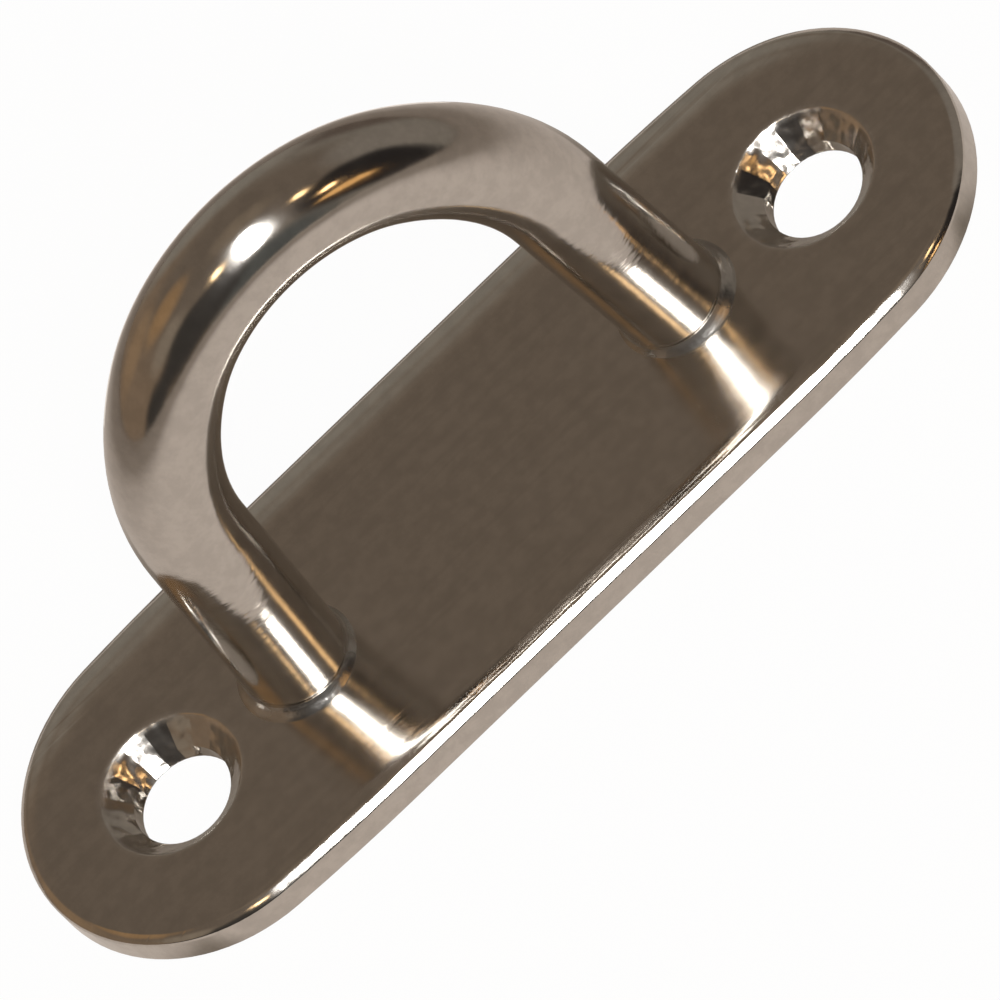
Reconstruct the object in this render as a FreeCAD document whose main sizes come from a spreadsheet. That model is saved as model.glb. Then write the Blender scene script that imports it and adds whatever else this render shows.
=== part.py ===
import FreeCAD, Part
import math
import os

import Sketcher

# Lashing eye: a round bar bent to an arch, let into an oblong plate with two countersunk screw holes.
# Millimetres. X runs along the plate, Z up from the face that lies on the deck, origin in its middle.

PARTS_FOLDER = "parts"

# Driving sizes: alias, value, meaning
SIZES = [
    ("plate_length", 62.5, "plate, end to end"),
    ("plate_width", 20.5, "plate, side to side"),
    ("plate_thickness", 2.4, "plate, back to top face"),
    ("side_draw_in", 0.25, "how far each side draws in before it turns round the end"),
    ("shoulder_radius", 120.0, "radius of the long curve that draws a side in"),
    ("edge_roll", 1.8, "radius to which the top face rolls over towards the plate's sides"),
    ("edge_trim", 0.5, "how far inside the end of that roll the sides are cut"),
    ("side_bevel", 0.12, "small bevel where the roll meets the sides"),
    ("back_edge_bevel", 0.3, "small bevel along the plate's back edge"),
    ("screw_spacing", 45.0, "distance between the two screw holes"),
    ("screw_hole", 5.6, "diameter of each screw hole"),
    ("sink_diameter", 8.3, "diameter of each countersink, before its rim is rounded"),
    ("sink_angle", 90.0, "full angle of each countersink"),
    ("rim_round", 0.45, "round at the rim of each countersink"),
    ("bar_diameter", 6.0, "round bar of the bow"),
    ("foot_spacing", 26.8, "distance between the bar's centres at the plate's top face"),
    ("leg_length", 12.7, "straight part of each leg, above the plate's top face"),
    ("leg_lean", 3.5, "how far each leg leans inwards, in degrees"),
    ("crown_radius", 11.0, "bend at the top of the bow, at the bar's centre"),
    ("eye_rise", 26.7, "top of the bow's centre line, above the plate's top face"),
    ("bore_clearance", 0.1, "gap round each leg in its hole in the plate"),
    ("weld_bevel", 0.9, "bevel round each leg at the back, filled by the weld"),
    ("bead_height", 0.6, "bead of weld round each leg at the top face, up the leg"),
    ("bead_width", 0.45, "the same bead, across the plate"),
    ("bead_edge", 0.1, "blunt edge of the bead, up the leg and across the plate"),
]

doc = FreeCAD.newDocument("lashing_eye")
sheet = doc.addObject("Spreadsheet::Sheet", "sizes")
for row, (alias, value, meaning) in enumerate(SIZES, start=1):
    sheet.set(f"A{row}", meaning)
    sheet.set(f"B{row}", str(value))
    sheet.setAlias(f"B{row}", alias)
doc.recompute()

# How a sketch numbers the points of a line or an arc, and its own axes and origin
START, END, CENTRE = range(1, 4)
V_AXIS, H_AXIS = range(-2, 0)
ORIGIN_POINT = (H_AXIS, START)
UP = FreeCAD.Vector(0, 0, 1)
FULL_TURN = 360

# How closely an edge has to lie at a height, in millimetres, and run round a hole, as a share of its radius
LEVEL_WITHIN = 1e-4
ROUND_WITHIN = 0.05


def size(alias):
    """The value of one cell of the sheet."""
    return float(sheet.get(alias))


def point(x, y):
    """A point of a sketch."""
    return FreeCAD.Vector(x, y, 0)


def new_body(name):
    """A body for one piece, labelled with the name of its file."""
    body = doc.addObject("PartDesign::Body", name)
    body.Label = name
    body.Placement = FreeCAD.Placement()
    return body


def origin_feature(body, role):
    """One of the body's own origin planes or axes."""
    return next(item for item in body.Origin.OriginFeatures if item.Role == role)


def new_sketch(body, name, plane_role):
    """A sketch on one of the body's own origin planes."""
    sketch = body.newObject("Sketcher::SketchObject", name)
    sketch.AttachmentSupport = [(origin_feature(body, plane_role), "")]
    sketch.MapMode = "FlatFace"
    return sketch


def drive(sketch, name, constraint, expression):
    """Adds a named dimension and binds it to the sheet."""
    index = sketch.addConstraint(constraint)
    sketch.renameConstraint(index, name)
    sketch.setExpression(f"Constraints.{name}", expression)


def join_ends(sketch, kind, sides):
    """Joins each side's end to the start of the next, all the way round."""
    for here, there in zip(sides, sides[1:] + sides[:1]):
        sketch.addConstraint(Sketcher.Constraint(kind, here, END, there, START))


def draw_polygon(sketch, corners):
    """Straight sides through the corners, joined end to end. Returns their numbers."""
    for here, there in zip(corners, corners[1:] + corners[:1]):
        sketch.addGeometry(Part.LineSegment(point(*here), point(*there)), False)
    sides = list(range(sketch.GeometryCount))[-len(corners) :]
    join_ends(sketch, "Coincident", sides)
    return sides


def draw_square(sketch):
    """A square about the origin that lies outside the plate all round."""
    reach = size("plate_length")
    sides = draw_polygon(sketch, [(-reach, -reach), (reach, -reach), (reach, reach), (-reach, reach)])
    for side, kind in zip(sides, ("Horizontal", "Vertical", "Horizontal", "Vertical")):
        sketch.addConstraint(Sketcher.Constraint(kind, side))
    low, right = sides[0], sides[1]
    sketch.addConstraint(Sketcher.Constraint("Symmetric", low, START, right, END, *ORIGIN_POINT))
    across = Sketcher.Constraint("DistanceX", low, START, low, END, 2 * reach)
    drive(sketch, "across", across, "2 * sizes.plate_length")
    along = Sketcher.Constraint("DistanceY", right, START, right, END, 2 * reach)
    drive(sketch, "along", along, "2 * sizes.plate_length")


def place_corner(sketch, side, name, at, across, along):
    """Fixes the corner where a side starts, across from and along the sketch's upright axis."""
    if across is None:
        sketch.addConstraint(Sketcher.Constraint("PointOnObject", side, START, V_AXIS))
    else:
        gap = Sketcher.Constraint("DistanceX", *ORIGIN_POINT, side, START, at[0])
        drive(sketch, f"{name}_across", gap, across)
    rise = Sketcher.Constraint("DistanceY", *ORIGIN_POINT, side, START, at[1])
    drive(sketch, f"{name}_along", rise, along)


def turned_profile(body, name, corners):
    """A profile to turn about the upright axis: corners with a name, a place and two expressions."""
    sketch = new_sketch(body, name, "XZ_Plane")
    sides = draw_polygon(sketch, [at for _, at, _, _ in corners])
    for side, (corner, at, across, along) in zip(sides, corners):
        place_corner(sketch, side, corner, at, across, along)
    return sketch


def set_on_leg(sketch, side):
    """Stands a sketch on the foot of a leg, its upright axis along the leg: side is 1 for +X, -1 for -X."""
    foot = point(side * size("foot_spacing") / 2, size("plate_thickness"))
    sketch.AttachmentOffset = FreeCAD.Placement(foot, FreeCAD.Rotation(UP, side * size("leg_lean")))
    sketch.setExpression("AttachmentOffset.Base.x", f"{side} * sizes.foot_spacing / 2")
    sketch.setExpression("AttachmentOffset.Base.y", "sizes.plate_thickness")
    sketch.setExpression("AttachmentOffset.Rotation.Angle", f"{side} * sizes.leg_lean")


def edges_of(body, wanted):
    """The body's last feature, with the names of its edges that the test picks."""
    base = body.Tip
    return base, [f"Edge{number}" for number, edge in enumerate(base.Shape.Edges, start=1) if wanted(edge)]


def round_edges(body, name, wanted, alias):
    """Rounds the picked edges."""
    picked = edges_of(body, wanted)
    fillet = body.newObject("PartDesign::Fillet", name)
    fillet.Base = picked
    fillet.Radius = size(alias)
    fillet.setExpression("Radius", f"sizes.{alias}")
    doc.recompute()


def bevel_edges(body, name, wanted, alias):
    """Takes the sharpness off the picked edges."""
    picked = edges_of(body, wanted)
    chamfer = body.newObject("PartDesign::Chamfer", name)
    chamfer.Base = picked
    chamfer.Size = size(alias)
    chamfer.setExpression("Size", f"sizes.{alias}")
    doc.recompute()


def mirror(body, name, features):
    """Repeats features on the other side of the YZ plane."""
    copy = body.newObject("PartDesign::Mirrored", name)
    copy.Originals = features
    copy.MirrorPlane = (origin_feature(body, "YZ_Plane"), [""])
    body.Tip = copy
    doc.recompute()


def cut_layer(body, name, sketch, above_back):
    """Cuts a sketch's area away through one plate thickness, above or below the plane of the plate's back."""
    pocket = body.newObject("PartDesign::Pocket", name)
    pocket.Profile = sketch
    pocket.Type = "Length"
    pocket.Length = size("plate_thickness")
    pocket.setExpression("Length", "sizes.plate_thickness")
    pocket.Reversed = above_back
    doc.recompute()


def trim_flush(body, name, above_back):
    """Trims the body flush with the plate's back, or with its top face when the layer above its back goes."""
    sketch = new_sketch(body, name + "_outline", "XY_Plane")
    draw_square(sketch)
    cut_layer(body, name, sketch, above_back)


# Lengths that more than one piece uses, each as an expression and as a number.
# Those along a leg count from the plate's top face, and a cut runs past a face by the overrun.
OVERRUN = "sizes.plate_thickness / 3"
BACK_ON_LEG = "-sizes.plate_thickness / cos(sizes.leg_lean * 1 deg)"
PAST_BACK = f"{BACK_ON_LEG} - {OVERRUN}"
BEVEL_TOP = f"{BACK_ON_LEG} + sizes.weld_bevel"
BAR_RADIUS = "sizes.bar_diameter / 2"
BORE_RADIUS = f"{BAR_RADIUS} + sizes.bore_clearance"
BEVEL_FOOT = f"{BORE_RADIUS} + sizes.weld_bevel + {OVERRUN}"
lean = math.radians(size("leg_lean"))
overrun = size("plate_thickness") / 3
back_on_leg = -size("plate_thickness") / math.cos(lean)
past_back = back_on_leg - overrun
bevel_top = back_on_leg + size("weld_bevel")
bar_radius = size("bar_diameter") / 2
bore_radius = bar_radius + size("bore_clearance")
bevel_foot = bore_radius + size("weld_bevel") + overrun


def draw_outline(sketch, margin_alias=None):
    """The plate's outline: straight sides, a long curve that draws each one in a little, and round ends."""
    margin = size(margin_alias) if margin_alias else 0
    outside = f" + sizes.{margin_alias}" if margin_alias else ""
    half_width = size("plate_width") / 2
    tip = half_width - size("side_draw_in")
    shoulder = size("shoulder_radius")
    tip_x = size("plate_length") / 2 - tip
    shoulder_y = half_width - shoulder
    shoulder_x = tip_x - math.sqrt((shoulder - tip) ** 2 - shoulder_y**2)
    meet = math.atan2(-shoulder_y, tip_x - shoulder_x)
    half_width, tip, shoulder = half_width + margin, tip + margin, shoulder + margin

    def arc(x, y, radius, first, last):
        return Part.ArcOfCircle(Part.Circle(point(x, y), UP, radius), first, last)

    right, top, left, bottom = 0, math.pi / 2, math.pi, 3 * math.pi / 2
    full = 2 * math.pi
    sides = [
        Part.LineSegment(point(shoulder_x, half_width), point(-shoulder_x, half_width)),
        arc(-shoulder_x, shoulder_y, shoulder, top, left - meet),
        arc(-tip_x, 0, tip, left - meet, left + meet),
        arc(-shoulder_x, -shoulder_y, shoulder, left + meet, bottom),
        Part.LineSegment(point(-shoulder_x, -half_width), point(shoulder_x, -half_width)),
        arc(shoulder_x, -shoulder_y, shoulder, bottom, full - meet),
        arc(tip_x, 0, tip, right - meet, right + meet),
        arc(shoulder_x, shoulder_y, shoulder, meet, top),
    ]
    sketch.addGeometry(sides, False)
    numbers = list(range(sketch.GeometryCount))[-len(sides) :]
    top_side, first_shoulder, left_tip, _, bottom_side, _, right_tip, _ = numbers
    join_ends(sketch, "Tangent", numbers)
    for side in (top_side, bottom_side):
        sketch.addConstraint(Sketcher.Constraint("Horizontal", side))
    sketch.addConstraint(Sketcher.Constraint("Symmetric", left_tip, CENTRE, right_tip, CENTRE, *ORIGIN_POINT))
    sketch.addConstraint(Sketcher.Constraint("PointOnObject", right_tip, CENTRE, H_AXIS))
    sketch.addConstraint(Sketcher.Constraint("Equal", left_tip, right_tip))
    for other in numbers[3::2]:
        sketch.addConstraint(Sketcher.Constraint("Equal", first_shoulder, other))
    tip_radius = "(sizes.plate_width / 2 - sizes.side_draw_in)"
    drive(sketch, "tip", Sketcher.Constraint("Radius", right_tip, tip), tip_radius + outside)
    long_curve = Sketcher.Constraint("Radius", first_shoulder, shoulder)
    drive(sketch, "shoulder", long_curve, "sizes.shoulder_radius" + outside)
    reach = Sketcher.Constraint("DistanceX", left_tip, CENTRE, right_tip, CENTRE, 2 * tip_x)
    drive(sketch, "reach", reach, f"sizes.plate_length - 2 * {tip_radius}")
    upper = Sketcher.Constraint("DistanceY", *ORIGIN_POINT, top_side, START, half_width)
    drive(sketch, "upper", upper, "sizes.plate_width / 2" + outside)
    lower = Sketcher.Constraint("DistanceY", bottom_side, START, *ORIGIN_POINT, half_width)
    drive(sketch, "lower", lower, "sizes.plate_width / 2" + outside)


def screw_hole(body):
    """A countersunk hole near the +X end, turned about its own axis."""
    hole = size("screw_hole") / 2
    sink = size("sink_diameter") / 2
    top = size("plate_thickness")
    drop = (sink - hole) / math.tan(math.radians(size("sink_angle") / 2))
    hole_radius = "sizes.screw_hole / 2"
    sink_radius = "sizes.sink_diameter / 2"
    sink_depth = f"({sink_radius} - {hole_radius}) / tan(sizes.sink_angle / 2 * 1 deg)"
    sink_floor = f"sizes.plate_thickness - {sink_depth}"
    under = f"-{OVERRUN}"
    over = f"sizes.plate_thickness + {OVERRUN}"
    corners = [
        ("foot", (0, -overrun), None, under),
        ("wall_foot", (hole, -overrun), hole_radius, under),
        ("wall_top", (hole, top - drop), hole_radius, sink_floor),
        ("rim", (sink, top), sink_radius, "sizes.plate_thickness"),
        ("over_rim", (sink, top + overrun), sink_radius, over),
        ("over_middle", (0, top + overrun), None, over),
    ]
    sketch = turned_profile(body, "screw_hole_profile", corners)
    sketch.AttachmentOffset = FreeCAD.Placement(point(size("screw_spacing") / 2, 0), FreeCAD.Rotation())
    sketch.setExpression("AttachmentOffset.Base.x", "sizes.screw_spacing / 2")
    return groove(body, "screw_hole", sketch)


def leg_bore(body):
    """The hole that takes the leg at +X, in line with the leg, bevelled at the back for the weld."""
    over_top = overrun + bore_radius * math.tan(lean)
    over = f"{OVERRUN} + ({BORE_RADIUS}) * tan(sizes.leg_lean * 1 deg)"
    corners = [
        ("foot", (0, past_back), None, PAST_BACK),
        ("bevel_foot", (bevel_foot, past_back), BEVEL_FOOT, PAST_BACK),
        ("bevel_top", (bore_radius, bevel_top), BORE_RADIUS, BEVEL_TOP),
        ("over_rim", (bore_radius, over_top), BORE_RADIUS, over),
        ("over_middle", (0, over_top), None, over),
    ]
    sketch = turned_profile(body, "leg_bore_profile", corners)
    set_on_leg(sketch, 1)
    return groove(body, "leg_bore", sketch)


def groove(body, name, sketch):
    """Cuts a profile turned once round the sketch's upright axis."""
    cut = body.newObject("PartDesign::Groove", name)
    cut.Profile = sketch
    cut.ReferenceAxis = (sketch, ["V_Axis"])
    cut.Angle = FULL_TURN
    doc.recompute()
    return cut


def is_level(edge, height):
    """True for an edge that lies at one height."""
    box = edge.BoundBox
    return abs(box.ZMin - height) < LEVEL_WITHIN and abs(box.ZMax - height) < LEVEL_WITHIN


def is_outer(edge):
    """True for an edge of the plate's outline, which lies outside every hole."""
    half_length = size("plate_length") / 2
    half_width = size("plate_width") / 2
    hole_reach = size("screw_spacing") / 2 + size("sink_diameter") / 2
    middle = edge.valueAt((edge.FirstParameter + edge.LastParameter) / 2)
    beyond_holes = (half_length + hole_reach) / 2
    beyond_sinks = (half_width + size("sink_diameter") / 2) / 2
    return abs(middle.x) > beyond_holes or abs(middle.y) > beyond_sinks


def is_about(edge, x, radius):
    """True for an edge that runs round the point at x on the long axis, at about that radius."""
    box = edge.BoundBox
    reach = ROUND_WITHIN * radius
    return abs(box.Center.x - x) < reach and abs(box.YLength / 2 - radius) < reach


def make_base_plate():
    """The oblong plate with its rolled edge, its screw holes and the bores for the legs."""
    body = new_body("base_plate")
    thickness = size("plate_thickness")
    slab_outline = new_sketch(body, "slab_outline", "XY_Plane")
    draw_outline(slab_outline, "edge_trim")
    pad = body.newObject("PartDesign::Pad", "slab")
    pad.Profile = slab_outline
    pad.Length = thickness
    pad.setExpression("Length", "sizes.plate_thickness")
    doc.recompute()
    round_edges(body, "roll", lambda edge: is_level(edge, thickness), "edge_roll")
    sides = new_sketch(body, "sides_outline", "XY_Plane")
    draw_outline(sides)
    draw_square(sides)
    cut_layer(body, "sides", sides, True)
    mirror(body, "both_ends", [screw_hole(body), leg_bore(body)])
    roll = size("edge_roll")
    side_top = thickness - roll + math.sqrt(roll**2 - (roll - size("edge_trim")) ** 2)
    screw_x = size("screw_spacing") / 2
    sink = size("sink_diameter") / 2

    def is_rim(edge):
        return is_level(edge, thickness) and any(is_about(edge, side * screw_x, sink) for side in (1, -1))

    round_edges(body, "sink_rims", is_rim, "rim_round")
    bevel_edges(body, "side_edge", lambda edge: is_level(edge, side_top) and is_outer(edge), "side_bevel")
    bevel_edges(body, "back_edge", lambda edge: is_level(edge, 0) and is_outer(edge), "back_edge_bevel")
    return body


def bow_line(body):
    """Half of the bow's centre line: a leaning leg, a shoulder bend and half of the crown bend."""
    foot_x = size("foot_spacing") / 2
    base_z = size("plate_thickness")
    apex_z = base_z + size("eye_rise")
    crown = size("crown_radius")
    leg = size("leg_length")
    tail = -past_back
    along = FreeCAD.Vector(-math.sin(lean), math.cos(lean), 0)
    inwards = FreeCAD.Vector(-math.cos(lean), -math.sin(lean), 0)
    foot = point(foot_x, base_z)
    leg_end = foot + along * leg
    crown_middle = point(0, apex_z - crown)
    gap = leg_end - crown_middle
    shoulder = (crown**2 - gap.Length**2) / (2 * (gap.dot(inwards) + crown))
    shoulder_middle = leg_end + inwards * shoulder
    meet = math.atan2(crown_middle.y - shoulder_middle.y, crown_middle.x - shoulder_middle.x)
    sketch = new_sketch(body, "centre_line", "XZ_Plane")
    sketch.addGeometry(
        [
            Part.LineSegment(foot - along * tail, leg_end),
            Part.ArcOfCircle(Part.Circle(shoulder_middle, UP, shoulder), lean, meet),
            Part.ArcOfCircle(Part.Circle(crown_middle, UP, crown), meet, math.pi / 2),
        ],
        False,
    )
    sketch.addGeometry(Part.LineSegment(foot, leg_end), True)
    leg_line, shoulder_arc, crown_arc, above_plate = range(4)
    sketch.addConstraint(Sketcher.Constraint("Tangent", leg_line, END, shoulder_arc, START))
    sketch.addConstraint(Sketcher.Constraint("Tangent", shoulder_arc, END, crown_arc, START))
    sketch.addConstraint(Sketcher.Constraint("PointOnObject", crown_arc, CENTRE, V_AXIS))
    sketch.addConstraint(Sketcher.Constraint("PointOnObject", crown_arc, END, V_AXIS))
    sketch.addConstraint(Sketcher.Constraint("Coincident", above_plate, END, leg_line, END))
    sketch.addConstraint(Sketcher.Constraint("PointOnObject", above_plate, START, leg_line))
    foot_gap = Sketcher.Constraint("DistanceX", *ORIGIN_POINT, above_plate, START, foot_x)
    drive(sketch, "foot_across", foot_gap, "sizes.foot_spacing / 2")
    foot_rise = Sketcher.Constraint("DistanceY", *ORIGIN_POINT, above_plate, START, base_z)
    drive(sketch, "foot_up", foot_rise, "sizes.plate_thickness")
    drive(sketch, "leg", Sketcher.Constraint("Distance", above_plate, leg), "sizes.leg_length")
    slope = Sketcher.Constraint("Angle", H_AXIS, START, leg_line, START, math.pi / 2 + lean)
    drive(sketch, "slope", slope, "(90 + sizes.leg_lean) * 1 deg")
    whole = Sketcher.Constraint("Distance", leg_line, leg + tail)
    drive(sketch, "whole_leg", whole, f"sizes.leg_length - ({PAST_BACK})")
    drive(sketch, "crown", Sketcher.Constraint("Radius", crown_arc, crown), "sizes.crown_radius")
    apex = Sketcher.Constraint("DistanceY", *ORIGIN_POINT, crown_arc, END, apex_z)
    drive(sketch, "apex", apex, "sizes.plate_thickness + sizes.eye_rise")
    return sketch


def bar_section(body):
    """The round bar's section at the top of the bow, where its centre line crosses the YZ plane."""
    apex_z = size("plate_thickness") + size("eye_rise")
    sketch = new_sketch(body, "bar_section", "YZ_Plane")
    sketch.addGeometry(Part.Circle(point(0, apex_z), UP, bar_radius), False)
    sketch.addConstraint(Sketcher.Constraint("PointOnObject", 0, CENTRE, V_AXIS))
    rise = Sketcher.Constraint("DistanceY", *ORIGIN_POINT, 0, CENTRE, apex_z)
    drive(sketch, "rise", rise, "sizes.plate_thickness + sizes.eye_rise")
    drive(sketch, "bar_width", Sketcher.Constraint("Diameter", 0, 2 * bar_radius), "sizes.bar_diameter")
    return sketch


def make_bow():
    """The arch: half of it swept along the centre line, mirrored, its feet ground flush with the back."""
    body = new_body("bow")
    section = bar_section(body)
    line = bow_line(body)
    doc.recompute()
    half = body.newObject("PartDesign::AdditivePipe", "half_bow")
    half.Profile = section
    half.Spine = (line, ["Edge1", "Edge2", "Edge3"])
    half.Mode = "Standard"
    doc.recompute()
    mirror(body, "whole_bow", [half])
    trim_flush(body, "ground_feet", False)
    return body


def make_ring(name, side, corners, above_back):
    """A ring of weld round one leg, from its profile, trimmed flush with the plate's back or top face."""
    body = new_body(name)
    sketch = turned_profile(body, name + "_profile", corners)
    set_on_leg(sketch, side)
    ring = body.newObject("PartDesign::Revolution", name + "_ring")
    ring.Profile = sketch
    ring.ReferenceAxis = (sketch, ["V_Axis"])
    ring.Angle = FULL_TURN
    doc.recompute()
    trim_flush(body, name + "_trim", above_back)
    return body


def make_weld(name, side):
    """The weld that fills the bevel round one leg, ground flush with the back."""
    corners = [
        ("inner_top", (bar_radius, bevel_top), BAR_RADIUS, BEVEL_TOP),
        ("inner_foot", (bar_radius, past_back), BAR_RADIUS, PAST_BACK),
        ("outer_foot", (bevel_foot, past_back), BEVEL_FOOT, PAST_BACK),
        ("outer_top", (bore_radius, bevel_top), BORE_RADIUS, BEVEL_TOP),
    ]
    return make_ring(name, side, corners, False)


def make_bead(name, side):
    """The sloping bead of weld round one leg where it stands on the plate's top face."""
    height, width, edge = size("bead_height"), size("bead_width"), size("bead_edge")
    foot = bar_radius + width + overrun * (width - edge) / height
    spread = f"{OVERRUN} * (sizes.bead_width - sizes.bead_edge) / sizes.bead_height"
    foot_reach = f"{BAR_RADIUS} + sizes.bead_width + {spread}"
    corners = [
        ("inner_top", (bar_radius, height), BAR_RADIUS, "sizes.bead_height"),
        ("inner_foot", (bar_radius, -overrun), BAR_RADIUS, f"-{OVERRUN}"),
        ("outer_foot", (foot, -overrun), foot_reach, f"-{OVERRUN}"),
        ("outer_top", (bar_radius + edge, height), f"{BAR_RADIUS} + sizes.bead_edge", "sizes.bead_height"),
    ]
    return make_ring(name, side, corners, True)


def check_objects():
    """Stops at an object that failed to recompute."""
    for item in doc.Objects:
        if "Invalid" in item.State or "Error" in item.State:
            raise RuntimeError(f"{item.Name} failed: {item.State}")
        if item.isDerivedFrom("Sketcher::SketchObject") and not item.FullyConstrained:
            raise RuntimeError(f"sketch {item.Name} isn't fully constrained")


pieces = [make_base_plate(), make_bow()]
for hand, side in (("right", 1), ("left", -1)):
    pieces += [make_weld(f"weld_{hand}", side), make_bead(f"bead_{hand}", side)]
doc.recompute()
check_objects()
for piece in pieces:
    if piece.Shape.isNull() or not piece.Shape.isValid() or len(piece.Shape.Solids) != 1:
        raise RuntimeError(f"{piece.Label} isn't one sound solid")

os.makedirs(PARTS_FOLDER, exist_ok=True)
for piece in pieces:
    piece.Shape.exportStep(os.path.join(PARTS_FOLDER, piece.Label + ".step"))
    box = piece.Shape.optimalBoundingBox(True, False)
    print(
        f"{piece.Label}: volume {piece.Shape.Volume:.2f}, x {box.XMin:.2f} to {box.XMax:.2f}, "
        f"y {box.YMin:.2f} to {box.YMax:.2f}, z {box.ZMin:.3f} to {box.ZMax:.2f}"
    )
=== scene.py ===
import math
from collections import namedtuple

import bpy
from mathutils import Matrix, Vector


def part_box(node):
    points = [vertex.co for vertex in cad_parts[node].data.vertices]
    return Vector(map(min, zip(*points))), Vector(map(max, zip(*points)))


# A lashing eye: a polished steel bar bent to an arch and let into an oblong plate.
# Lengths are in metres, in the solids' frame, and colours are linear.

MM = 0.001

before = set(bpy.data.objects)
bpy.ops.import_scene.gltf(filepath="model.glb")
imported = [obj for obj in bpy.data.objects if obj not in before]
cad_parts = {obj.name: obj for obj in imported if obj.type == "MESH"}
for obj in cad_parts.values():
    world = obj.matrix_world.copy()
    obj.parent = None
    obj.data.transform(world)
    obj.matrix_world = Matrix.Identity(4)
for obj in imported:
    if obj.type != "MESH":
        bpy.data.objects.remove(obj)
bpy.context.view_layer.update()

# The camera, in degrees and metres: where the photograph was taken from, and how large it shows the object
IMAGE_PIXELS = 1000
SENSOR_MM = 36.0
VIEW_AZIMUTH = 1.2
VIEW_ELEVATION = 50.5
VIEW_ROLL = -44.76
VIEW_DISTANCE = 1.632
PIXELS_PER_METRE = 19433

# Where in the photograph the middle of the plate's back lies
MIDDLE_PIXEL = (507.1, 501.6)


def towards(azimuth, elevation):
    """The direction at an azimuth, 0 on the camera's side and 90 on the right, and at an elevation."""
    turn, tilt = math.radians(azimuth), math.radians(elevation)
    return Vector((math.sin(turn) * math.cos(tilt), -math.cos(turn) * math.cos(tilt), math.sin(tilt)))


def make_camera():
    """The camera at the photograph's viewing angle, turned about its own axis as the photograph is."""
    back = towards(VIEW_AZIMUTH, VIEW_ELEVATION)
    level = Vector((0, 0, 1)).cross(back).normalized()
    rise = back.cross(level)
    roll = math.radians(VIEW_ROLL)
    across = math.cos(roll) * level + math.sin(roll) * rise
    up = math.cos(roll) * rise - math.sin(roll) * level
    data = bpy.data.cameras.new("camera")
    data.sensor_width = SENSOR_MM
    data.lens = PIXELS_PER_METRE * VIEW_DISTANCE / IMAGE_PIXELS * SENSOR_MM
    data.clip_end = 10 * VIEW_DISTANCE
    right_of_middle = (IMAGE_PIXELS / 2 - MIDDLE_PIXEL[0]) / PIXELS_PER_METRE
    above_middle = (MIDDLE_PIXEL[1] - IMAGE_PIXELS / 2) / PIXELS_PER_METRE
    place = back * VIEW_DISTANCE + across * right_of_middle + up * above_middle
    facing = Matrix((across, up, back)).transposed().to_4x4()
    camera = bpy.data.objects.new("camera", data)
    camera.matrix_world = Matrix.Translation(place) @ facing
    bpy.context.scene.collection.objects.link(camera)
    bpy.context.scene.camera = camera


def set_socket(node, name, value):
    """Sets an input of a node."""
    node.inputs[name].default_value = value


def socket_of(sockets, name, kind):
    """The socket of that name and kind, where a node has several of one name."""
    return next(socket for socket in sockets if socket.name == name and socket.type == kind)


class Nodes:
    """Short calls for the nodes of one material or world."""

    def __init__(self, tree):
        self.tree = tree
        tree.nodes.clear()

    def add(self, kind, **settings):
        """A new node with those settings."""
        node = self.tree.nodes.new(kind)
        for name, value in settings.items():
            setattr(node, name, value)
        return node

    def join(self, start, end):
        """Joins an output to an input."""
        self.tree.links.new(start, end)

    def feed(self, value, socket):
        """Gives an input a number, or joins an output to it."""
        if isinstance(value, (int, float)):
            socket.default_value = value
        else:
            self.join(value, socket)

    def parts(self, vector):
        """The three parts of a vector."""
        node = self.add("ShaderNodeSeparateXYZ")
        self.join(vector, node.inputs["Vector"])
        return node.outputs["X"], node.outputs["Y"], node.outputs["Z"]

    def calculate(self, operation, *values, clamp=False):
        """The result of an operation of the maths node."""
        node = self.add("ShaderNodeMath", operation=operation, use_clamp=clamp)
        for value, socket in zip(values, node.inputs):
            self.feed(value, socket)
        return node.outputs["Value"]

    def plus(self, first, second):
        """The sum of two values."""
        return self.calculate("ADD", first, second)

    def minus(self, first, second):
        """The difference of two values."""
        return self.calculate("SUBTRACT", first, second)

    def over(self, first, second):
        """One value divided by another."""
        return self.calculate("DIVIDE", first, second)

    def times(self, product, *factors):
        """The product of the values."""
        for factor in factors:
            product = self.calculate("MULTIPLY", product, factor)
        return product

    def spread(self, value, low, high, to_low, to_high):
        """Leads smoothly from to_low to to_high as the value goes from low to high."""
        node = self.add("ShaderNodeMapRange", clamp=True, interpolation_type="SMOOTHSTEP")
        self.join(value, node.inputs["Value"])
        for name, number in (("From Min", low), ("From Max", high), ("To Min", to_low), ("To Max", to_high)):
            set_socket(node, name, number)
        return node.outputs["Result"]

    def grow(self, value, low, high):
        """Leads smoothly from 0 to 1 as the value goes from low to high."""
        return self.spread(value, low, high, 0, 1)

    def fade(self, value, low, high):
        """Leads smoothly from 1 to 0 as the value goes from low to high."""
        return self.spread(value, low, high, 1, 0)

    def mix_colours(self, share, first, second):
        """The first colour where the share is 0, the second where it is 1."""
        node = self.add("ShaderNodeMix", data_type="RGBA")
        self.join(share, node.inputs["Factor"])
        for name, value in (("A", first), ("B", second)):
            socket = socket_of(node.inputs, name, "RGBA")
            if isinstance(value, tuple):
                socket.default_value = (*value, 1)
            else:
                self.join(value, socket)
        return socket_of(node.outputs, "Result", "RGBA")

    def mix_shaders(self, share, first, second):
        """The first shader where the share is 0, the second where it is 1."""
        node = self.add("ShaderNodeMixShader")
        for value, socket in zip((share, first, second), node.inputs):
            self.join(value, socket)
        return node.outputs["Shader"]


# The metal's colours, and the share of them that its dark mottle keeps
STEEL = (0.58, 0.55, 0.51)
BEAD_STEEL = (0.50, 0.48, 0.45)
DARK_STEEL = (0.42, 0.40, 0.37)
# Painted shade for the crease where a weld's near side meets its leg
CREASE_PAINTED_SHADE = (0.10, 0.09, 0.08)
MOTTLE_SHADE = 0.90

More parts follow.
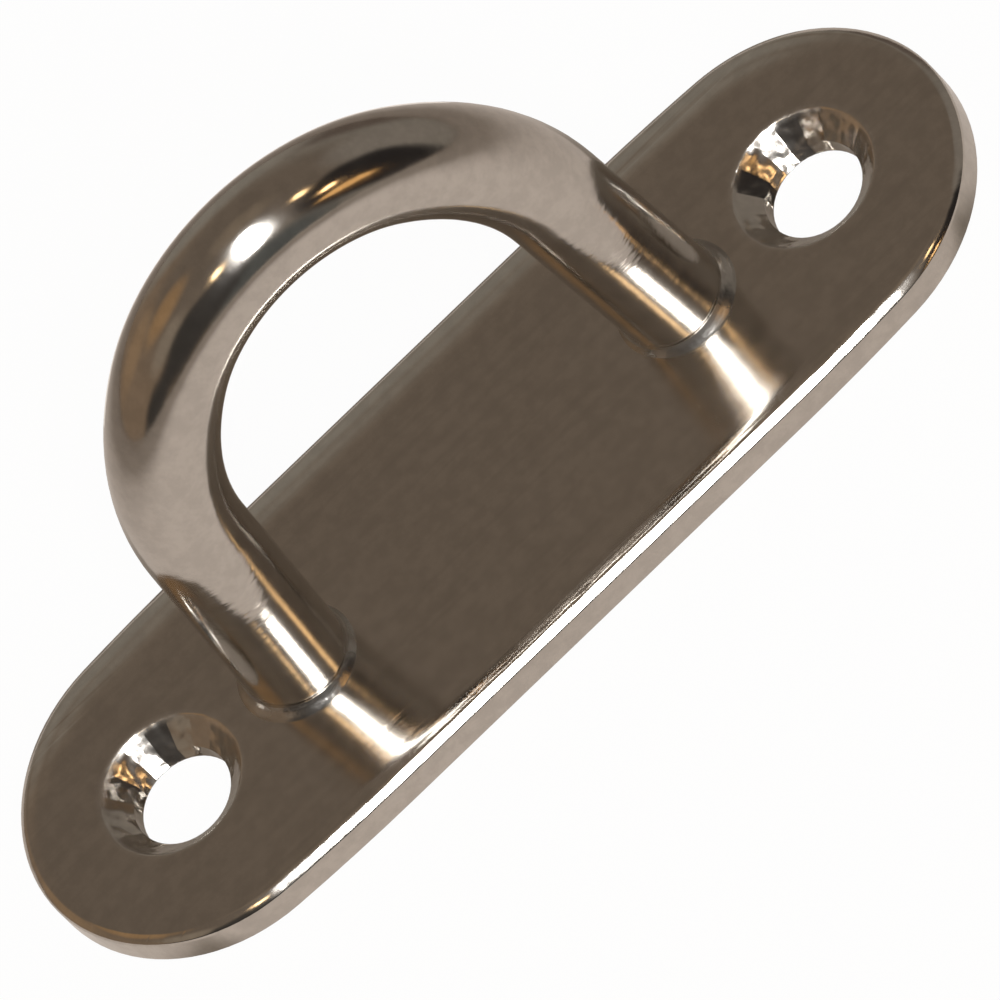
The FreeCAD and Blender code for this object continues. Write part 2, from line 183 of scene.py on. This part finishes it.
# The noise in the metal: its cells per metre along the plate, across it and up, and its finer detail
Texture = namedtuple("Texture", "cells detail roughness", defaults=(0.5,))
CLOUDS = Texture((220, 220, 220), detail=3)
MOTTLE = Texture((900, 900, 900), detail=4, roughness=0.65)
DARK_LINES = Texture((40, 1500, 40), detail=3, roughness=0.6)
POLISHING_LINES = Texture((60, 2600, 60), detail=3, roughness=0.6)
SCRATCHES = Texture((18, 900, 18), detail=0)
RIM_WAVES = Texture((700, 700, 700), detail=1)
CHATTER = Texture((900, 900, 900), detail=1)
GRAIN = Texture((2600, 2600, 2600), detail=1)
GRINDING_RINGS = Texture((300, 300, 1500), detail=3, roughness=0.6)
BUFFING_WAVES = Texture((500, 500, 500), detail=2)
WELD_LUMPS = Texture((900, 900, 900), detail=3, roughness=0.6)

# Noise goes from 0 to 1: where most of it lies, where the dark lines come up and where the scratches end,
# and the most that a dark line covers
MOST_NOISE = (0.35, 0.65)
LINES_SHOW = (0.45, 0.70)
SCRATCHES_END = (0.68, 0.72)
LINES_COVER = 0.25


class Steel(Nodes):
    """Stainless steel of one finish. Its facings and its bumps are added one on another."""

    def __init__(self, name, smooth, dull, tone=STEEL):
        self.material = bpy.data.materials.new(name)
        self.material.use_nodes = True
        super().__init__(self.material.node_tree)
        self.place = self.add("ShaderNodeTexCoord").outputs["Object"]
        self.x, self.y, self.height = self.parts(self.place)
        self.normal = None
        self.shader = self.add("ShaderNodeBsdfPrincipled")
        set_socket(self.shader, "Metallic", 1.0)
        roughness = self.spread(self.noise(CLOUDS), *MOST_NOISE, smooth, dull)
        self.join(roughness, self.shader.inputs["Roughness"])
        shade = tuple(MOTTLE_SHADE * part for part in tone)
        mottle = self.grow(self.noise(MOTTLE), *MOST_NOISE)
        self.join(self.mix_colours(mottle, shade, tone), self.shader.inputs["Base Color"])

    def noise(self, texture):
        """The noise of that texture, from 0 to 1."""
        mapping = self.add("ShaderNodeMapping")
        self.join(self.place, mapping.inputs["Vector"])
        set_socket(mapping, "Scale", texture.cells)
        node = self.add("ShaderNodeTexNoise")
        self.join(mapping.outputs["Vector"], node.inputs["Vector"])
        set_socket(node, "Scale", 1.0)
        set_socket(node, "Detail", texture.detail)
        set_socket(node, "Roughness", texture.roughness)
        return node.outputs["Fac"]

    def length(self, first, second):
        """The long side of a right triangle with those short sides."""
        return self.calculate("SQRT", self.plus(self.times(first, first), self.times(second, second)))

    def rest_of_one(self, part):
        """The other short side of a right triangle whose long side is 1."""
        return self.calculate("SQRT", self.minus(1.0, self.times(part, part)))

    def tint(self, share, colour):
        """Gives the steel another colour there."""
        socket = self.shader.inputs["Base Color"]
        self.join(self.mix_colours(share, socket.links[0].from_socket, colour), socket)

    def roughen(self, share, roughness):
        """Gives the steel another roughness there."""
        socket = self.shader.inputs["Roughness"]
        here = socket.links[0].from_socket
        self.join(self.plus(here, self.times(share, self.minus(roughness, here))), socket)

    def face(self, share, along, across, rise):
        """Turns the surface to that direction there."""
        facing = self.add("ShaderNodeCombineXYZ")
        for value, socket in zip((along, across, rise), facing.inputs):
            self.feed(value, socket)
        own = self.normal or self.add("ShaderNodeNewGeometry").outputs["Normal"]
        mix = self.add("ShaderNodeMix", data_type="VECTOR")
        self.join(share, mix.inputs["Factor"])
        self.join(own, socket_of(mix.inputs, "A", "VECTOR"))
        self.join(facing.outputs["Vector"], socket_of(mix.inputs, "B", "VECTOR"))
        self.normal = socket_of(mix.outputs, "Result", "VECTOR")

    def press(self, height, depth):
        """Adds a bump of that depth."""
        node = self.add("ShaderNodeBump")
        set_socket(node, "Strength", 1.0)
        set_socket(node, "Distance", depth)
        self.join(height, node.inputs["Height"])
        if self.normal is not None:
            self.join(self.normal, node.inputs["Normal"])
        self.normal = node.outputs["Normal"]

    def done(self):
        """The finished material."""
        self.join(self.normal, self.shader.inputs["Normal"])
        output = self.add("ShaderNodeOutputMaterial")
        self.join(self.shader.outputs["BSDF"], output.inputs["Surface"])
        return self.material


# The plate's outline: near half-round ends, and sides that a long curve draws in towards them
HALF_LENGTH, HALF_WIDTH, TOP_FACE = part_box("base_plate")[1]
SIDE_DRAW_IN = 0.25 * MM
END_RADIUS = HALF_WIDTH - SIDE_DRAW_IN
END_MIDDLE = HALF_LENGTH - END_RADIUS
CURVE_RADIUS = 120 * MM
CURVE_LENGTH = math.sqrt((CURVE_RADIUS - END_RADIUS) ** 2 - (CURVE_RADIUS - HALF_WIDTH) ** 2)
CURVE_START = END_MIDDLE - CURVE_LENGTH

# Its heights: where the flat top starts, where the upright side ends, the rise over which the bevel on that
# side would turn straight up, where the rim's own facing starts and where the back ends
TOP_STARTS = (TOP_FACE - 0.004 * MM, TOP_FACE - 0.001 * MM)
SIDE_TOP = 1.72 * MM
BEVEL_RISE = 0.277 * MM
RIM_STARTS = (0.5 * MM, 0.6 * MM)
BACK_ENDS = (0.02 * MM, 0.06 * MM)

# The worn roll of its rim. RIM_FALL pairs a share of RIM_REACH, in from the edge, with the share of RIM_TILT
# by which the rim tilts out there: first comes a tight bend and then a long gentle fall.
RIM_REACH = 2.0 * MM
RIM_ENDS = (0.9 * RIM_REACH, RIM_REACH)
RIM_TILT = math.radians(50)
RIM_FALL = ((0.0, 1.0), (0.22, 0.56), (0.32, 0.27), (0.52, 0.15), (0.72, 0.0), (1.0, 0.0))

# In from the edge: where the rim's waves end and where its even polish ends
WAVES_END = (0.45 * MM, 0.75 * MM)
RIM_POLISH_ENDS = (1.0 * MM, 1.4 * MM)

# Where the far side looks worn down by buffing: across the plate, and in from the edge
FAR_SIDE = (2 * MM, 7 * MM)
FAR_FALL = (0.5 * MM, 2.7 * MM)

# The screw holes, and their countersinks of 90 degrees, which face in as much as up
SCREW_AT = 22.5 * MM
SCREW_HOLE = 5.6 * MM
SINK_DIAMETER = 8.3 * MM
SINK_FLOOR = TOP_FACE - (SINK_DIAMETER - SCREW_HOLE) / 2
CONE_STARTS = (SINK_FLOOR, SINK_FLOOR + 0.03 * MM)
SINK_FACING = math.sqrt(0.5)

# Out from a hole's middle: where the finish of its countersink ends, where its facets end, and where its
# rounded rim is worn dull, to either side of WORN_RIM_AT
SINK_REACH = SINK_DIAMETER / 2 + 0.15 * MM
SINK_ENDS = (SINK_REACH - 0.3 * MM, SINK_REACH)
CONE_ENDS = (SINK_REACH - 0.5 * MM, SINK_REACH - 0.35 * MM)
WORN_RIM_AT = SINK_REACH - 0.2 * MM
WORN_RIM_ENDS = (0.1 * MM, 0.35 * MM)

# The shallow facets that a chattering tool left in them: the turn from one to the next, how much of it each
# bends by itself, and where the hole's far wall shines with them, from its sides, 0, to its far end, 1
FACET = math.radians(20)
FACET_BEND = 0.45
FAR_WALL = (0.25, 0.85)


def rim_of_plate(steel, from_middle):
    """How far in from the outline a place lies, and the sine of the outline's turn towards its end."""
    past_end = steel.minus(from_middle, END_MIDDLE)
    reach = steel.length(steel.calculate("MAXIMUM", past_end, 0.0), steel.y)
    on_curve = steel.calculate("MAXIMUM", steel.minus(from_middle, CURVE_START), 0.0)
    on_side = steel.calculate("MINIMUM", on_curve, CURVE_LENGTH)
    drawn_in = steel.over(steel.times(on_side, on_side), 2 * CURVE_RADIUS)
    inset = steel.minus(steel.minus(HALF_WIDTH, drawn_in), reach)
    turned = steel.calculate("MAXIMUM", steel.over(on_curve, CURVE_RADIUS), steel.over(past_end, reach))
    return inset, turned


def face_the_rim(steel, inset, turned):
    """Faces the rim as a worn roll does, because the long narrow facets of its mesh shade unevenly."""
    fall = steel.add("ShaderNodeFloatCurve")
    steel.join(steel.calculate("DIVIDE", inset, RIM_REACH, clamp=True), fall.inputs["Value"])
    points = fall.mapping.curves[0].points
    points[0].location, points[1].location = RIM_FALL[0], RIM_FALL[-1]
    for place in RIM_FALL[1:-1]:
        points.new(*place)
    fall.mapping.update()
    on_roll = steel.calculate("COSINE", steel.times(fall.outputs["Value"], RIM_TILT))
    on_bevel = steel.over(steel.minus(steel.height, SIDE_TOP), BEVEL_RISE)
    rise = steel.calculate("MINIMUM", on_roll, on_bevel, clamp=True)
    level = steel.rest_of_one(rise)
    along = steel.times(steel.calculate("SIGN", steel.x), turned, level)
    across = steel.times(steel.calculate("SIGN", steel.y), steel.rest_of_one(turned), level)
    share = steel.times(steel.fade(inset, *RIM_ENDS), steel.grow(steel.height, *RIM_STARTS))
    steel.face(share, along, across, rise)


def face_the_sink(steel, past_screw, from_screw):
    """Faces the countersink in facets, and the far wall of the hole with it, as where the corner between
    them is worn round. This is shading alone: the solid has a plain cone and a sharp corner."""
    to_right = steel.times(steel.calculate("SIGN", steel.x), past_screw)
    east, north = steel.over(to_right, from_screw), steel.over(steel.y, from_screw)
    around = steel.calculate("ARCTAN2", east, north)
    facet = steel.times(steel.calculate("ROUND", steel.over(around, FACET)), FACET)
    bent = steel.plus(facet, steel.times(steel.minus(around, facet), FACET_BEND))
    along = steel.times(steel.calculate("SINE", bent), -SINK_FACING)
    across = steel.times(steel.calculate("COSINE", bent), -SINK_FACING)
    on_cone = steel.grow(steel.height, *CONE_STARTS)
    shown = steel.calculate("MAXIMUM", on_cone, steel.grow(north, *FAR_WALL))
    share = steel.times(steel.fade(from_screw, *CONE_ENDS), shown, steel.grow(steel.height, *BACK_ENDS))
    steel.face(share, along, across, SINK_FACING)


def plate_finish():
    """Lengthwise polishing lines, a few scratches, a worn far side and chattered countersinks."""
    steel = Steel("plate_steel", smooth=0.13, dull=0.18)
    from_middle = steel.calculate("ABSOLUTE", steel.x)
    inset, turned = rim_of_plate(steel, from_middle)
    past_screw = steel.minus(from_middle, SCREW_AT)
    from_screw = steel.length(past_screw, steel.y)
    in_sink = steel.fade(from_screw, *SINK_ENDS)
    from_worn_rim = steel.calculate("ABSOLUTE", steel.minus(from_screw, WORN_RIM_AT))

    steel.face(steel.grow(steel.height, *TOP_STARTS), 0.0, 0.0, 1.0)
    face_the_rim(steel, inset, turned)
    face_the_sink(steel, past_screw, from_screw)

    steel.roughen(steel.fade(inset, *RIM_POLISH_ENDS), roughness=0.12)
    steel.roughen(in_sink, roughness=0.17)
    steel.roughen(steel.fade(from_worn_rim, *WORN_RIM_ENDS), roughness=0.26)
    steel.tint(steel.spread(steel.noise(DARK_LINES), *LINES_SHOW, 0, LINES_COVER), DARK_STEEL)

    worn_down = steel.times(steel.grow(steel.y, *FAR_SIDE), steel.grow(inset, *FAR_FALL))
    steel.press(worn_down, depth=0.26 * MM)
    steel.press(steel.times(steel.fade(inset, *WAVES_END), steel.noise(RIM_WAVES)), depth=0.03 * MM)
    steel.press(steel.noise(POLISHING_LINES), depth=0.003 * MM)
    steel.press(steel.fade(steel.noise(SCRATCHES), *SCRATCHES_END), depth=0.004 * MM)
    steel.press(steel.times(in_sink, steel.noise(CHATTER)), depth=0.12 * MM)
    steel.press(steel.noise(GRAIN), depth=0.0006 * MM)
    return steel.done()


# The heights between which buffing took the grinding rings off the legs
RINGS_END = (13 * MM, 18 * MM)


def bow_finish():
    """A drawn bar: grinding rings round its legs, and slight waves from buffing all over."""
    steel = Steel("bow_steel", smooth=0.11, dull=0.15)
    on_leg = steel.fade(steel.height, *RINGS_END)
    steel.press(steel.times(on_leg, steel.noise(GRINDING_RINGS)), depth=0.014 * MM)
    steel.press(steel.noise(BUFFING_WAVES), depth=0.012 * MM)
    steel.press(steel.noise(GRAIN), depth=0.001 * MM)
    return steel.done()


# The legs of the bow at the plate's top face
LEG_AT = 13.4 * MM
LEG_RADIUS = 3.0 * MM

# The seam round each: out from the leg's middle, where the painted shade in the seam's crease ends and where
# the weld falls in towards it, and across the plate, where the near side of the seam, which alone has that
# painted shade, ends
CREASE_PAINTED_SHADE_ENDS = (LEG_RADIUS, LEG_RADIUS + 0.08 * MM)
WELD_FALL = (LEG_RADIUS + 0.18 * MM, LEG_RADIUS + 0.5 * MM)
NEAR_SIDE_ENDS = (-2.75 * MM, -2.0 * MM)


def weld_finish(name, smooth, dull, lumps, tone):
    """Lumpy weld metal, with painted shade in the crease where its near side meets the leg."""
    steel = Steel(name, smooth, dull, tone)
    from_middle = steel.calculate("ABSOLUTE", steel.x)
    from_leg = steel.length(steel.minus(from_middle, LEG_AT), steel.y)
    # Painted shade: the crease on the seam's near side is coloured dark
    dark = steel.times(steel.fade(from_leg, *CREASE_PAINTED_SHADE_ENDS), steel.fade(steel.y, *NEAR_SIDE_ENDS))
    steel.tint(dark, CREASE_PAINTED_SHADE)
    steel.press(steel.grow(from_leg, *WELD_FALL), depth=0.06 * MM)
    steel.press(steel.noise(WELD_LUMPS), depth=lumps)
    return steel.done()


# How solids are shaded: corners this close are one, edges this sharp stay, and flats count this much
MERGE_DISTANCE = 0.001 * MM
SHARP_ANGLE = math.radians(36)
FLAT_WEIGHT = 80


def dress(node, material):
    """Gives a solid its material, smooth curves and true flats."""
    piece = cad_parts[node]
    piece.data.materials.clear()
    piece.data.materials.append(material)
    piece.data.polygons.foreach_set("use_smooth", [True] * len(piece.data.polygons))
    merge = piece.modifiers.new("merge", "WELD")
    merge.merge_threshold = MERGE_DISTANCE
    split = piece.modifiers.new("corners", "EDGE_SPLIT")
    split.split_angle = SHARP_ANGLE
    split.use_edge_sharp = False
    flats = piece.modifiers.new("flats", "WEIGHTED_NORMAL")
    flats.weight = FLAT_WEIGHT


# The floor, a hair below the plate's back, and how white it is to the camera
FLOOR_AT = -0.05 * MM
FLOOR_HALF = 3.0
FLOOR_COLOUR = (0.80, 0.74, 0.68, 1)
WHITE_SHARE = 0.965

# What the metal shows in the floor's place: a small glow of painted light, bright near its middle and dim
# further out, and a painted shadow under the plate. The painted shadow starts at the plate's near side, and
# ends past its far side and near its ends.
PAINTED_GLOW_SHARE = 0.7
PAINTED_GLOW_NEAR = (0.71, 0.63, 0.575)
PAINTED_GLOW_FAR = (0.13, 0.10, 0.08)
# Painted shadow: the colour that the glow turns under the plate and past its far side
PAINTED_SHADOW_UNDER_PLATE = (0.10, 0.08, 0.06)
PAINTED_GLOW_MIDDLE = (-0.01, -0.05, 0)
PAINTED_GLOW_DIMS = (0.03, 0.17)
PAINTED_SHADOW_STARTS = (-10 * MM, -8.5 * MM)
PAINTED_SHADOW_ENDS = (12 * MM, 24 * MM)
PAINTED_SHADOW_ENDS_ALONG = (27 * MM, 30 * MM)


def painted_glow_shader(nodes):
    """Painted light: the small glow that the metal shows in the floor's place, with its painted pool of light
    and its painted shadow.
    """
    place = nodes.add("ShaderNodeTexCoord").outputs["Object"]
    gap = nodes.add("ShaderNodeVectorMath", operation="DISTANCE")
    nodes.join(place, gap.inputs[0])
    gap.inputs[1].default_value = PAINTED_GLOW_MIDDLE
    # Painted pool of light: the glow is bright near its middle and dim further out
    colour = nodes.mix_colours(nodes.grow(gap.outputs["Value"], *PAINTED_GLOW_DIMS), PAINTED_GLOW_NEAR, PAINTED_GLOW_FAR)
    x, y, _ = nodes.parts(place)
    # Painted shadow of the plate and bow: the glow darkens under the plate and past its far side
    across = nodes.times(nodes.grow(y, *PAINTED_SHADOW_STARTS), nodes.fade(y, *PAINTED_SHADOW_ENDS))
    along = nodes.fade(nodes.calculate("ABSOLUTE", x), *PAINTED_SHADOW_ENDS_ALONG)
    glow = nodes.add("ShaderNodeEmission")
    nodes.join(nodes.mix_colours(nodes.times(across, along), colour, PAINTED_SHADOW_UNDER_PLATE), glow.inputs["Color"])
    return glow.outputs["Emission"]


def floor_finish():
    """White to the camera, except for the shadow, a small glow of painted light and painted shadow to the
    metal, and clear from below.
    """
    material = bpy.data.materials.new("floor")
    material.use_nodes = True
    nodes = Nodes(material.node_tree)
    path = nodes.add("ShaderNodeLightPath").outputs
    lit = nodes.add("ShaderNodeBsdfDiffuse")
    set_socket(lit, "Color", FLOOR_COLOUR)
    mirrored = nodes.calculate("ADD", path["Is Glossy Ray"], path["Is Transmission Ray"], clamp=True)
    shown = nodes.mix_shaders(nodes.times(mirrored, PAINTED_GLOW_SHARE), lit.outputs["BSDF"], painted_glow_shader(nodes))
    white = nodes.add("ShaderNodeEmission").outputs["Emission"]
    page = nodes.mix_shaders(nodes.times(path["Is Camera Ray"], WHITE_SHARE), shown, white)
    clear = nodes.add("ShaderNodeBsdfTransparent").outputs["BSDF"]
    from_below = nodes.add("ShaderNodeNewGeometry").outputs["Backfacing"]
    output = nodes.add("ShaderNodeOutputMaterial")
    nodes.join(nodes.mix_shaders(from_below, page, clear), output.inputs["Surface"])
    return material


def make_floor():
    """A plain pale floor that keeps the object's shadow."""
    corners = [(x * FLOOR_HALF, y * FLOOR_HALF, 0) for x, y in ((-1, -1), (1, -1), (1, 1), (-1, 1))]
    mesh = bpy.data.meshes.new("floor")
    mesh.from_pydata(corners, [], [(0, 1, 2, 3)])
    mesh.materials.append(floor_finish())
    floor = bpy.data.objects.new("floor", mesh)
    floor.location.z = FLOOR_AT
    bpy.context.scene.collection.objects.link(floor)


# The lamps: a window and warm lights beside it and below it, all LAMP_DISTANCE away and facing the object
LAMP_DISTANCE = 2.0
Lamp = namedtuple("Lamp", "azimuth elevation width height turn brightness colour")
LAMPS = {
    "window": Lamp(0, 53.5, 0.40, 1.48, turn=0, brightness=22.0, colour=(1.0, 1.0, 1.0)),
    "gold_right": Lamp(43, 53.5, 0.27, 0.19, turn=44, brightness=4.4, colour=(1.0, 0.66, 0.32)),
    "gold_middle": Lamp(38, 35, 0.26, 0.15, turn=0, brightness=8.0, colour=(1.0, 0.60, 0.26)),
    "gold_left": Lamp(-28, 53.5, 0.17, 0.36, turn=25, brightness=5.5, colour=(1.0, 0.70, 0.38)),
    "gold_low": Lamp(35, 22, 0.75, 0.28, turn=-25, brightness=1.1, colour=(1.0, 0.56, 0.20)),
}

# A small pale card that lies behind the object and lights its back from below
CARD_AT = (0, 36 * MM, 1 * MM)
CARD_SIZE = (46 * MM, 26 * MM)
CARD_BRIGHTNESS = 0.45
CARD_COLOUR = (1.0, 0.97, 0.93)
CARD_SPREAD = math.radians(140)


def add_light(name, placing, width, height, brightness, colour):
    """A flat soft oval light that the camera doesn't see, of a brightness that doesn't depend on its size."""
    data = bpy.data.lights.new(name, "AREA")
    data.shape = "ELLIPSE"
    data.size = width
    data.size_y = height
    data.color = colour
    data.energy = brightness * math.pi * math.pi / 4 * width * height
    light = bpy.data.objects.new(name, data)
    light.matrix_world = placing
    light.visible_camera = False
    bpy.context.scene.collection.objects.link(light)
    return data


def make_lights():
    """The lamps, which face the object, and the card, which faces up."""
    for name, lamp in LAMPS.items():
        away = towards(lamp.azimuth, lamp.elevation)
        facing = away.to_track_quat("Z", "Y").to_matrix().to_4x4()
        turned = facing @ Matrix.Rotation(math.radians(lamp.turn), 4, "Z")
        placing = Matrix.Translation(away * LAMP_DISTANCE) @ turned
        add_light(name, placing, lamp.width, lamp.height, lamp.brightness, lamp.colour)
    upward = Matrix.Translation(CARD_AT) @ Matrix.Rotation(math.pi, 4, "X")
    card = add_light("back_card", upward, *CARD_SIZE, CARD_BRIGHTNESS, CARD_COLOUR)
    card.spread = CARD_SPREAD


# The room: its left and right walls, its ceiling and the ceiling's middle, and where each gives way to the
# next, as shares of due right and of straight up
LEFT_WALL = (0.265, 0.19, 0.13)
RIGHT_WALL = (0.255, 0.225, 0.19)
CEILING = (0.186, 0.147, 0.114)
CEILING_MIDDLE = (0.264, 0.207, 0.153)
WALLS_MEET = (-0.6, 0.6)
CEILING_STARTS = (0.25, 0.80)
MIDDLE_STARTS = (0.94, 1.0)

# The soft round patches on it, in degrees: where each lies and how far its even part and its soft edge reach
Patch = namedtuple("Patch", "azimuth elevation even edge colour")
PATCHES = (
    Patch(-125, 18, even=4, edge=20, colour=(0.34, 0.23, 0.14)),
    Patch(-106, 46, even=4, edge=19, colour=(0.40, 0.25, 0.13)),
    Patch(-66, 34, even=4, edge=17, colour=(0.32, 0.26, 0.20)),
    Patch(95, 24, even=12, edge=32, colour=(0.27, 0.235, 0.20)),
    Patch(145, 0, even=8, edge=26, colour=(0.145, 0.112, 0.092)),
    Patch(180, 8, even=8, edge=30, colour=(0.30, 0.27, 0.23)),
    Patch(0, 10, even=8, edge=26, colour=(0.115, 0.118, 0.112)),
    Patch(48, 22, even=22, edge=32, colour=(0.026, 0.023, 0.022)),
    Patch(-31, 23, even=18, edge=28, colour=(0.055, 0.049, 0.044)),
    Patch(-57, 4, even=7, edge=18, colour=(0.055, 0.049, 0.044)),
    Patch(34, 20, even=2, edge=13, colour=(0.15, 0.08, 0.035)),
)


def room_colour(nodes):
    """The colour of the room in each direction."""
    direction = nodes.add("ShaderNodeTexCoord").outputs["Generated"]
    side, _, height = nodes.parts(direction)
    walls = nodes.mix_colours(nodes.grow(side, *WALLS_MEET), LEFT_WALL, RIGHT_WALL)
    ceiling = nodes.mix_colours(nodes.grow(height, *CEILING_STARTS), walls, CEILING)
    room = nodes.mix_colours(nodes.grow(height, *MIDDLE_STARTS), ceiling, CEILING_MIDDLE)
    for patch in PATCHES:
        nearness = nodes.add("ShaderNodeVectorMath", operation="DOT_PRODUCT")
        nodes.join(direction, nearness.inputs[0])
        nearness.inputs[1].default_value = towards(patch.azimuth, patch.elevation)
        at_edge, at_even = math.cos(math.radians(patch.edge)), math.cos(math.radians(patch.even))
        room = nodes.mix_colours(nodes.grow(nearness.outputs["Value"], at_edge, at_even), room, patch.colour)
    return room


def make_world():
    """A dim warm room with dark corners on the camera's side. The camera itself sees white."""
    world = bpy.data.worlds.new("room")
    bpy.context.scene.world = world
    world.use_nodes = True
    nodes = Nodes(world.node_tree)
    light = nodes.add("ShaderNodeBackground")
    nodes.join(room_colour(nodes), light.inputs["Color"])
    white = nodes.add("ShaderNodeBackground")
    set_socket(white, "Color", (1, 1, 1, 1))
    to_camera = nodes.add("ShaderNodeLightPath").outputs["Is Camera Ray"]
    page = nodes.mix_shaders(to_camera, light.outputs["Background"], white.outputs["Background"])
    output = nodes.add("ShaderNodeOutputWorld")
    nodes.join(page, output.inputs["Surface"])


make_camera()
make_floor()
make_world()
make_lights()

bead_steel = weld_finish("bead_steel", smooth=0.20, dull=0.30, lumps=0.06 * MM, tone=BEAD_STEEL)
weld_steel = weld_finish("weld_steel", smooth=0.35, dull=0.50, lumps=0.02 * MM, tone=STEEL)
dress("base_plate", plate_finish())
dress("bow", bow_finish())
for hand in ("left", "right"):
    dress(f"bead_{hand}", bead_steel)
    dress(f"weld_{hand}", weld_steel)

view_settings = bpy.context.scene.view_settings
view_settings.view_transform = "Standard"
